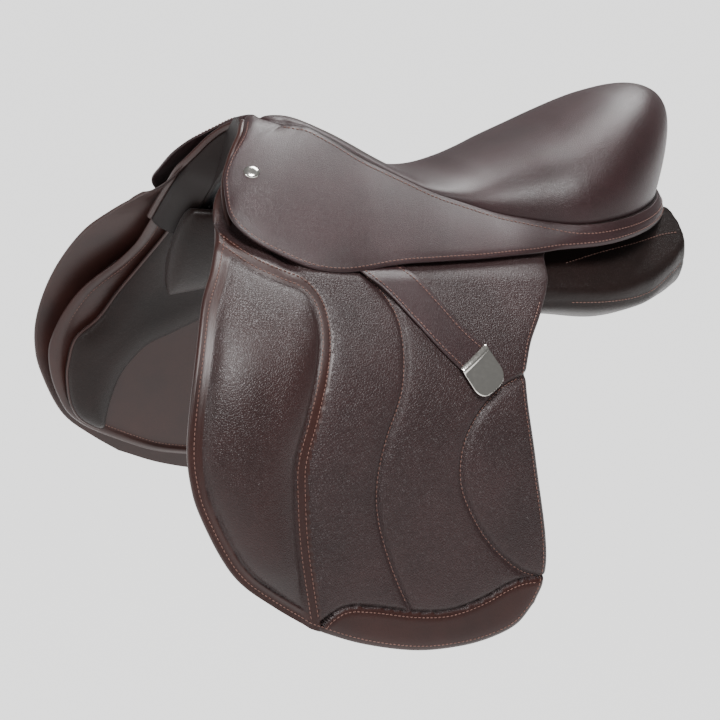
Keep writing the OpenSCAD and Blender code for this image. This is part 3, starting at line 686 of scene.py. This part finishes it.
lobe = np.exp(-(((welt_line[:, 0] - LOBE_X) / LOBE_REACH) ** 2))
down = np.linspace(0, 1, SKIRT_ROWS)[:, None]
skirt_grid = welt_line[None] + (skirt_line - welt_line)[None] * down[..., None]
skirt_out = outward_normals(skirt_grid)
puff = (PUFF + LOBE_PUFF * lobe[None]) * np.sin(np.pi * np.clip(down * 1.02, 0, 1)) ** 0.8
pressed = EDGE_PRESS * np.exp(-(((1 - down) * 15) ** 2))
skirt_outer = skirt_grid + skirt_out * (SKIRT_T + puff - pressed + SKIRT_GAP)[..., None]
skirt_inner = skirt_grid + skirt_out * (SKIRT_GAP + puff * 0.6)[..., None]
skirt_outer[0] = welt_line + skirt_out[0] * SEAM_HALF
skirt_inner[0] = welt_line - skirt_out[0] * SEAM_HALF
for grid in (skirt_outer, skirt_inner):
    grid[:, 0, 1] = grid[:, -1, 1] = 0
    grid[..., 1] = np.maximum(grid[..., 1], 0)
skirt_points, skirt_faces = shell(skirt_outer[:, ::-1], skirt_inner[:, ::-1], 0.5)
skirt_normals = outward_normals(skirt_outer)


def skirt_row(inset_mm, from_welt=False, first=0, last=None):
    """A line on the skirt at a distance from its cut edge or from the welt."""
    width = np.linalg.norm(skirt_line - welt_line, axis=1)
    share = np.clip(inset_mm / width, 0, 0.48)
    share = share if from_welt else 1 - share
    row = share * (SKIRT_ROWS - 1)
    low = np.floor(row).astype(int).clip(0, SKIRT_ROWS - 2)
    part = (row - low)[:, None]
    k = np.arange(AROUND)
    path = skirt_outer[low, k] * (1 - part) + skirt_outer[low + 1, k] * part
    return path[first:last], skirt_normals[low, k][first:last]


fold_run = np.array([0.901, 0.327, -0.2845])
fold_down = np.array([0.29, 0.69, -0.66])
fold_down -= fold_run * (fold_down @ fold_run)
fold_down /= np.linalg.norm(fold_down)


def bend_with_skirt(piece):
    """Bakes the piece's transform into its mesh."""
    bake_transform(piece)


skirt_seams = [skirt_row(3.2, first=4), skirt_row(8.5, from_welt=True, first=26)]
for side in ("near", "off"):
    skirt = new_piece(f"skirt_leather_{side}", skirt_points, skirt_faces, [seat_leather], side)
    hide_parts(f"skirt_top_{side}", f"skirt_lobe_{side}", "rear_strip")
    bend_with_skirt(skirt)
    seams = sew(f"skirt_stitching_{side}", skirt_seams, side)
    bend_with_skirt(seams)
print("skirt points:", len(skirt_points))

# %% [markdown]
# A strap, a lining or a flap underneath is a ladder: two side lines with rungs between them. Each rung's
# points are set on the side surface at their own depth, and a shell gives the sheet its two faces.

# %% Sheets between two lines
LEAST_HALF_W = 6


def ladder(first, second, rows, columns):
    """A grid of points between two lines."""
    a, b = spline(first, rows), spline(second, rows)
    share = np.linspace(0, 1, columns)[None, :, None]
    return a[:, None] * (1 - share) + b[:, None] * share


def layer(name, first, second, outer_at, inner_at, material, side, edge_r=0.6, rows=90, columns=44):
    """A leather sheet under the flap. outer_at and inner_at give a depth from the distance to the edge."""
    grid = ladder(first, second, rows, columns)
    flat = grid.reshape(-1, 2)
    rim = np.vstack([grid[0], grid[:, -1], grid[-1, ::-1], grid[::-1, 0]])
    depth = distance_to(flat, rim[::2]).reshape(rows, columns)
    sides = []
    for at in (outer_at, inner_at):
        w = np.maximum(side_w(grid[..., 1]) + at(depth), LEAST_HALF_W)
        sides.append(np.stack([grid[..., 0], w, grid[..., 1]], 2))
    points, quads = shell(sides[0], sides[1], edge_r)
    return new_piece(f"{name}_{side}", points, quads, [material], side)


def pillow(depth, reach_mm, height):
    """The round rise of a stuffed edge."""
    return height * np.sqrt(1 - (1 - np.clip(depth / reach_mm, 0, 1)) ** 2)


# %% [markdown]
# Under the flap lie three more layers. The sweat flap keeps the girth straps off the horse and has a
# rolled edge, the knee block is a firm dark pad, and the panel's own flap is a soft near-black cushion
# that ends in a thin corded edge.

# %% Sweat flap, knee block and panel flap
SWEAT_FRONT = [(-249, 40), (-251, 23), (-254, 4), (-255, -18), (-258, -39), (-269, -59), (-285, -76),
    (-298, -92), (-309, -113), (-315, -131), (-318, -148), (-316, -165), (-311, -182), (-303, -199),
    (-291, -217), (-271, -232), (-240, -246), (-200, -260), (-160, -266)]
SWEAT_REAR = [(-120, 0), (-30, -8), (-12, -26), (-44, -60), (-58, -95), (-52, -150), (-42, -215), (-50, -245),
    (-70, -259), (-110, -267), (-150, -267)]
PANEL_FRONT = [(-237, 14), (-235, -4), (-239, -31), (-250, -62), (-265, -92), (-278, -117), (-297, -138),
    (-301, -163), (-300, -180), (-294, -203), (-284, -219), (-271, -228), (-262, -232)]
PANEL_REAR = [(-190, 8), (-140, -15), (-110, -50), (-120, -85), (-165, -112), (-205, -134), (-225, -144),
    (-236, -156), (-248, -175), (-255, -203), (-257, -231)]
BLOCK_FRONT = [(-268, -60), (-290, -88), (-304, -120), (-306, -150), (-294, -190), (-266, -212)]
BLOCK_REAR = [(-250, -64), (-262, -100), (-270, -150), (-256, -195), (-260, -210)]
SWEAT_OUTER, SWEAT_INNER = -18.0, -21.5
CUSHION_OUTER, CUSHION_INNER = -24.0, -28.0
BLOCK_OUTER, BLOCK_INNER = -13.0, -17.5


def roll_bead(depth):
    """The rise of the sweat flap's rolled edge."""
    return 2.6 * np.exp(-(((depth - 4) / 3.2) ** 2))


for side in ("near", "off"):
    sweat = layer("sweat_flap_leather", SWEAT_FRONT, SWEAT_REAR,
        lambda d: SWEAT_OUTER, lambda d: SWEAT_INNER - roll_bead(d), red_leather, side, 1.2)
    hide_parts(f"sweat_flap_{side}")
    cushion = layer("panel_flap_cushion", PANEL_FRONT, PANEL_REAR,
        lambda d: CUSHION_OUTER, lambda d: CUSHION_INNER - pillow(d, 24, 11), panel_leather, side, 1.2)
    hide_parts(f"panel_flap_{side}")
    block = layer("knee_block_cover", BLOCK_FRONT, BLOCK_REAR,
        lambda d: BLOCK_OUTER + pillow(d, 12, 6.5), lambda d: BLOCK_INNER, dark_leather, side, 1.0, 50, 20)
    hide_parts(f"knee_block_{side}")
    for piece in (sweat, cushion, block):
        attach(piece, "saddle")
print("sweat flap, panel flap and knee block on both sides")

# %% [markdown]
# The sweat flap's rolled edge is held by one row of stitches, and a thin cord runs round the cushion. The
# seams are set on the inner faces, because that is what one sees from in front.


# %% Inner seams and piping
OUTWARD = [0.0, 1.0, 0.3]
PIPING_D, ROLL_SEAM_INSET = 3.0, 9.0


def on_layer(line, depth, lift):
    """A line on an inner face, moved in from the cut edge by depth."""
    fine = offset_line(spline(line, 220), depth)
    w = side_w(fine[:, 1]) + lift
    return np.stack([fine[:, 0], w, fine[:, 1]], 1), -side_normals(fine[:, 1])


for side in ("near", "off"):
    path, normals = on_layer(SWEAT_FRONT, ROLL_SEAM_INSET, SWEAT_INNER - 0.2)
    seams = sew(f"sweat_flap_stitching_{side}", [(path[10:], normals[10:])], side)
    path, _ = on_layer(PANEL_FRONT, 0.3, CUSHION_INNER - 0.5)
    points, quads = cord(path, PIPING_D, OUTWARD)
    piping = new_piece(f"panel_piping_{side}", points, quads, [red_leather], side)
    for piece in (seams, piping):
        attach(piece, "saddle")
print("piping and one inner seam on both sides")

# %% [markdown]
# The panels are two long cushions with a channel between them, and the gusset at the back lets them swell
# to fill the room under the cantle. Rings across the panel are joined by a spline both ways round, and the
# two gusset seams are pulled in a little where they are sewn.

# %% Panels
PANEL_RINGS = [
    (-238, [(56, 6), (58, -10), (72, -42), (90, -70), (104, -78), (110, -56), (92, -22), (72, 4)]),
    (-180, [(44, 6), (46, -10), (62, -38), (84, -60), (102, -66), (112, -46), (92, -18), (68, 4)]),
    (-120, [(40, 6), (40, -12), (54, -34), (80, -50), (102, -56), (112, -42), (92, -18), (68, 4)]),
    (-50, [(38, 6), (38, -12), (52, -34), (78, -47), (104, -50), (116, -40), (102, -16), (72, 4)]),
    (20, [(38, 6), (38, -14), (54, -38), (80, -50), (106, -48), (121, -36), (118, -8), (92, 6)]),
    (80, [(38, 10), (40, -20), (56, -46), (82, -55), (106, -50), (122, -35), (120, 4), (96, 20)]),
    (125, [(36, 16), (38, -16), (54, -38), (76, -46), (98, -44), (113, -30), (110, 12), (88, 28)]),
    (155, [(38, 30), (42, -4), (54, -28), (72, -38), (90, -34), (101, -16), (96, 18), (74, 38)]),
    (174, [(44, 34), (48, 4), (58, -20), (72, -28), (84, -24), (90, -6), (84, 20), (64, 36)])]
PANEL_ROWS, PANEL_AROUND = 120, 64
GUSSET_SEAMS = (40, 48)
SEWN_ROWS = slice(70, 124)
SEAM_PULL, SEAM_REACH = 0.035, 0.9
CAP_STEPS = ((0.93, 2.5), (0.8, 5.0), (0.55, 7.5), (0.25, 9.0), (0.02, 9.4))
PANEL_DEPTH = 24

rings = np.array([[(x, w, z) for w, z in ring] for x, ring in PANEL_RINGS], float)
around = np.stack([spline(ring, PANEL_AROUND, closed=True, even=False) for ring in rings])
long_lines = np.stack([spline(around[:, k], PANEL_ROWS, even=False) for k in range(PANEL_AROUND)], 1)
middles = long_lines.mean(axis=1, keepdims=True)
for k in GUSSET_SEAMS:
    away = np.abs(np.arange(PANEL_AROUND) - k)
    pull = SEAM_PULL * np.exp(-((away / SEAM_REACH) ** 2))[None, :, None]
    long_lines = long_lines + (middles - long_lines) * pull
caps = []
for end, way in ((0, -1), (-1, 1)):
    cap = []
    for share, step in CAP_STEPS:
        ring = middles[end] + (long_lines[end] - middles[end]) * share
        cap.append(ring + np.array([way * step, 0, 0]))
    caps.append(np.array(cap))
panel_grid = np.vstack([caps[0][::-1], long_lines, caps[1]])
panel_grid[:, :, 1] = np.minimum(panel_grid[:, :, 1], side_w(panel_grid[:, :, 2]) - PANEL_DEPTH)
panel_faces = [tuple(reversed(f)) for f in grid_faces(len(panel_grid), PANEL_AROUND, closed=True)]
panel_seams = []
for k in GUSSET_SEAMS:
    path = panel_grid[SEWN_ROWS, k]
    out_way = path - panel_grid[SEWN_ROWS].mean(axis=1)
    panel_seams.append((path, out_way / np.linalg.norm(out_way, axis=1)[:, None]))

for side in ("near", "off"):
    panel = new_piece(f"panel_cushion_{side}", panel_grid.reshape(-1, 3), panel_faces,
        [panel_leather], side)
    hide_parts(f"panel_{side}", f"panel_gusset_{side}")
    seams = sew(f"panel_stitching_{side}", panel_seams, side)
    for piece in (panel, seams):
        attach(piece, "saddle")
print("panel length:", round(float(np.ptp(panel_grid[..., 0]))), "mm")

# %% [markdown]
# The stirrup leather's end is tucked under a keeper strap, whose tip carries a nickel clip. The strap is
# one flat ladder laid on the padding. The clip is a plate with round lower corners and a folded top edge.

# %% Keeper strap and clip
KEEPER_LEFT = [(-166, -6), (-150, -18), (-132, -38), (-115, -57), (-98, -73)]
KEEPER_RIGHT = [(-138, 5), (-120, -7), (-104, -25), (-89, -43), (-73, -57)]
KEEPER_T = 2.4
KEEPER_ROWS, KEEPER_COLUMNS = 60, 16
KEEPER_SEAM_INSET = 3.0
CLIP_TOP = np.array([-85.5, -64.5])
CLIP_ACROSS = np.array([0.84, 0.54])
CLIP_DOWN = np.array([0.54, -0.84])
CLIP_W, CLIP_L, CLIP_CORNER, CLIP_T = 31.0, 27.0, 10.0, 1.5
CLIP_FOLD_H, CLIP_CROWN = 1.6, 0.5

keeper_grid = ladder(KEEPER_LEFT, KEEPER_RIGHT, KEEPER_ROWS, KEEPER_COLUMNS)
keeper_flat = keeper_grid.reshape(-1, 2)
keeper_top = on_flap(keeper_flat, KEEPER_T, channels=False)
keeper_low = on_flap(keeper_flat, -0.4, channels=False)
keeper_shape = (KEEPER_ROWS, KEEPER_COLUMNS, 3)
keeper_points, keeper_faces = shell(keeper_top.reshape(keeper_shape), keeper_low.reshape(keeper_shape), 0.5)
keeper_seams = []
for line, away in ((KEEPER_LEFT, KEEPER_SEAM_INSET), (KEEPER_RIGHT, -KEEPER_SEAM_INSET)):
    fine = offset_line(spline(line, KEEPER_ROWS), away)
    keeper_seams.append((on_flap(fine, KEEPER_T, channels=False), side_normals(fine[:, 1])))

straight = CLIP_L - CLIP_CORNER
corner_steps = np.sin(np.linspace(0.1, math.pi / 2, 12))
down = np.concatenate([np.linspace(-2, straight, 22), straight + CLIP_CORNER * corner_steps])
past = np.clip((down - CLIP_L + CLIP_CORNER) / CLIP_CORNER, 0, 1)
half = CLIP_W / 2 - CLIP_CORNER * (1 - np.sqrt(1 - past**2))
across = np.linspace(-1, 1, 24)
sideways = (half[:, None] * across[None])[..., None]
clip_xz = CLIP_TOP + down[:, None, None] * CLIP_DOWN + sideways * CLIP_ACROSS
pad_under = on_flap(CLIP_TOP[None] + CLIP_DOWN * 12, channels=False)[0, 1] - side_w(CLIP_TOP[1] - 10)
fold = CLIP_FOLD_H * np.exp(-(((down - 0.5) / 1.8) ** 2))[:, None]
crown = CLIP_CROWN * (1 - across[None] ** 2) * np.ones_like(fold)
clip_w = side_w(clip_xz[..., 1]) + pad_under + KEEPER_T + CLIP_T + fold + crown
clip_top_face = np.stack([clip_xz[..., 0], clip_w, clip_xz[..., 1]], 2)
clip_low_face = clip_top_face - np.array([0, CLIP_T, 0])
clip_points, clip_faces = shell(clip_top_face, clip_low_face, 0.4)

for side in ("near", "off"):
    strap = new_piece(f"keeper_strap_leather_{side}", keeper_points, keeper_faces, [seat_leather], side)
    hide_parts(f"keeper_strap_{side}")
    seams = sew(f"keeper_stitching_{side}", keeper_seams, side)
    for piece in (strap, seams):
        bend_with_flap(piece)
    clip = new_piece(f"keeper_clip_plate_{side}", clip_points, clip_faces, [nickel], side)
    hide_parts(f"keeper_clip_{side}")
    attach(clip, f"{side}_flap")
print("clip:", CLIP_W, "x", CLIP_L, "mm")

# %% [markdown]
# A leather binding closes the front of the arch. Behind it the lining rolls back under the pommel, so from
# in front the eye meets leather and not the bare tree.

# %% Pommel binding and lining
BINDING = [(-222, 0, 92), (-227, 10, 88.5), (-232, 20, 83), (-240, 29, 73), (-246, 36, 63), (-252, 45, 52),
    (-256, 56, 42), (-258, 70, 27), (-259, 88, 10), (-260, 106, -8)]
BINDING_D = 6.0
LINING_BACK, LINING_IN = 26.0, 15.0
LINING_T = np.array([0.8, -0.8, -1.2])
binding_line = spline(BINDING, 90)
binding_line[0, 1] = 0
tuck_share = np.linspace(0, 1, 16)
inward = np.array([LINING_BACK, -LINING_IN * 0.7, -LINING_IN])
lining_grid = binding_line[:, None] + (
    np.stack([tuck_share, tuck_share**0.5, tuck_share**0.5], 1) * inward
)[None]
lining_grid[..., 1] = np.maximum(lining_grid[..., 1], 0)
lining_under = lining_grid + LINING_T
lining_under[..., 1] = np.maximum(lining_under[..., 1], 0)
lining_points, lining_faces = shell(lining_grid[:, ::-1], lining_under[:, ::-1], 0.3)
for side in ("near", "off"):
    binding_points, binding_faces = cord(binding_line, BINDING_D, OUTWARD, sides=12)
    binding = new_piece(f"pommel_binding_{side}", binding_points, binding_faces, [red_leather], side)
    lining = new_piece(f"pommel_lining_{side}", lining_points, lining_faces, [dark_leather], side)
    for piece in (binding, lining):
        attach(piece, "saddle")
print("pommel binding points:", len(binding_points))

# %% [markdown]
# The saddle nail is a turned dome of nickel silver. Its profile is spun round the normal of the skirt at
# the place where it is driven in.

# %% Saddle nails
NAIL_PROFILE = [(0.05, 2.0), (2.6, 1.95), (4.6, 1.6), (6.0, 1.0), (6.7, 0.1), (6.7, -1.5)]
NAIL_X, NAIL_Z = -237.0, 61.0
NAIL_RINGS, NAIL_SIDES = 24, 36
from_nail = (skirt_outer[..., 0] - NAIL_X) ** 2 + (skirt_outer[..., 2] - NAIL_Z) ** 2
nail_at = np.unravel_index(np.argmin(from_nail), from_nail.shape)
nail_place, nail_up = skirt_outer[nail_at], skirt_normals[nail_at]
nail_level = np.cross(nail_up, [1.0, 0, 0])
nail_level /= np.linalg.norm(nail_level)
nail_other = np.cross(nail_up, nail_level)
turns = np.linspace(0, 2 * math.pi, NAIL_SIDES, endpoint=False)
nail_points = [nail_place + nail_up * h + r * (nail_level * math.cos(a) + nail_other * math.sin(a))
    for r, h in spline(NAIL_PROFILE, NAIL_RINGS) for a in turns]
nail_faces = grid_faces(NAIL_RINGS, NAIL_SIDES, closed=True)
for side in ("near", "off"):
    nail = new_piece(f"saddle_nail_dome_{side}", nail_points, nail_faces, [nickel], side)
    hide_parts("saddle_nails")
    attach(nail, "saddle")
print("nail at", [round(float(c)) for c in nail_place], "mm")

# %% [markdown]
# The stage is one sheet of white paper far below, which glows a little so that it stays pale. Three large
# soft boxes light the saddle, and the room itself is dim, so the dark leather keeps its depth.

# %% Stage
PAPER_GLOW = 1.7
ROOM_LIGHT = 0.22
FLOOR_Z, FLOOR_REACH = -3.0, 400
LIGHTS_AIM = Vector((-0.05, 0, -0.05))
paper, paper_shader = new_material("white_studio_paper")
paper_shader.inputs["Base Color"].default_value = srgb("#e8e6e3")
paper_shader.inputs["Roughness"].default_value = 0.9
paper_shader.inputs["Emission Color"].default_value = (1, 1, 1, 1)
paper_shader.inputs["Emission Strength"].default_value = PAPER_GLOW
floor_mesh = bpy.data.meshes.new("floor")
floor_corners = [(x * FLOOR_REACH, y * FLOOR_REACH, FLOOR_Z) for x, y in ((-1, -1), (1, -1), (1, 1), (-1, 1))]
floor_mesh.from_pydata(floor_corners, [], [(0, 1, 2, 3)])
floor_mesh.materials.append(paper)
floor = bpy.data.objects.new("floor", floor_mesh)
bpy.context.scene.collection.objects.link(floor)

world = bpy.data.worlds.new("dim_room")
world.use_nodes = True
world.node_tree.nodes["Background"].inputs["Color"].default_value = (1, 1, 1, 1)
world.node_tree.nodes["Background"].inputs["Strength"].default_value = ROOM_LIGHT
bpy.context.scene.world = world


def soft_box(name, place, size, power):
    """A square area light that looks at the saddle."""
    data = bpy.data.lights.new(name, "AREA")
    data.energy = power
    data.size = size
    light = bpy.data.objects.new(name, data)
    light.location = place
    light.rotation_euler = (LIGHTS_AIM - Vector(place)).to_track_quat("-Z", "Y").to_euler()
    bpy.context.scene.collection.objects.link(light)


soft_box("key", (-0.5, -1.3, 1.9), 0.9, 95)
soft_box("back_top", (0.8, 0.9, 2.0), 1.0, 60)
soft_box("front_side", (-2.2, -0.6, 0.7), 0.8, 16)
print("lights:", [light.name for light in bpy.data.lights])

# %% [markdown]
# Pieces that the frame already draws well keep their shape and only get their finish. Nodes that a piece
# above has replaced are hidden, and get plain dark leather.

# %% Finishes for the frame's own pieces
FINISHES = {
    "tree": polymer, "gullet_plate": steel, "gullet_screws": steel, "bar_rivets": steel,
    "catch_pins": steel, "strap_rivets": steel, "stirrup_bar": steel, "bar_catch": steel,
    "seat_webbing": webbing, "girth_webs": webbing, "air_cells": film,
    "channel_lining": dark_leather, "pommel_facing": dark_leather,
    "strap_front": red_leather, "strap_middle": red_leather, "strap_rear": red_leather,
    "buckle_guard": red_leather,
}
for name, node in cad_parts.items():
    kind = name.removesuffix("_near").removesuffix("_off")
    node.data.materials.clear()
    node.data.materials.append(FINISHES.get(kind, dark_leather))
print("frame nodes with a finish:", len(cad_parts))
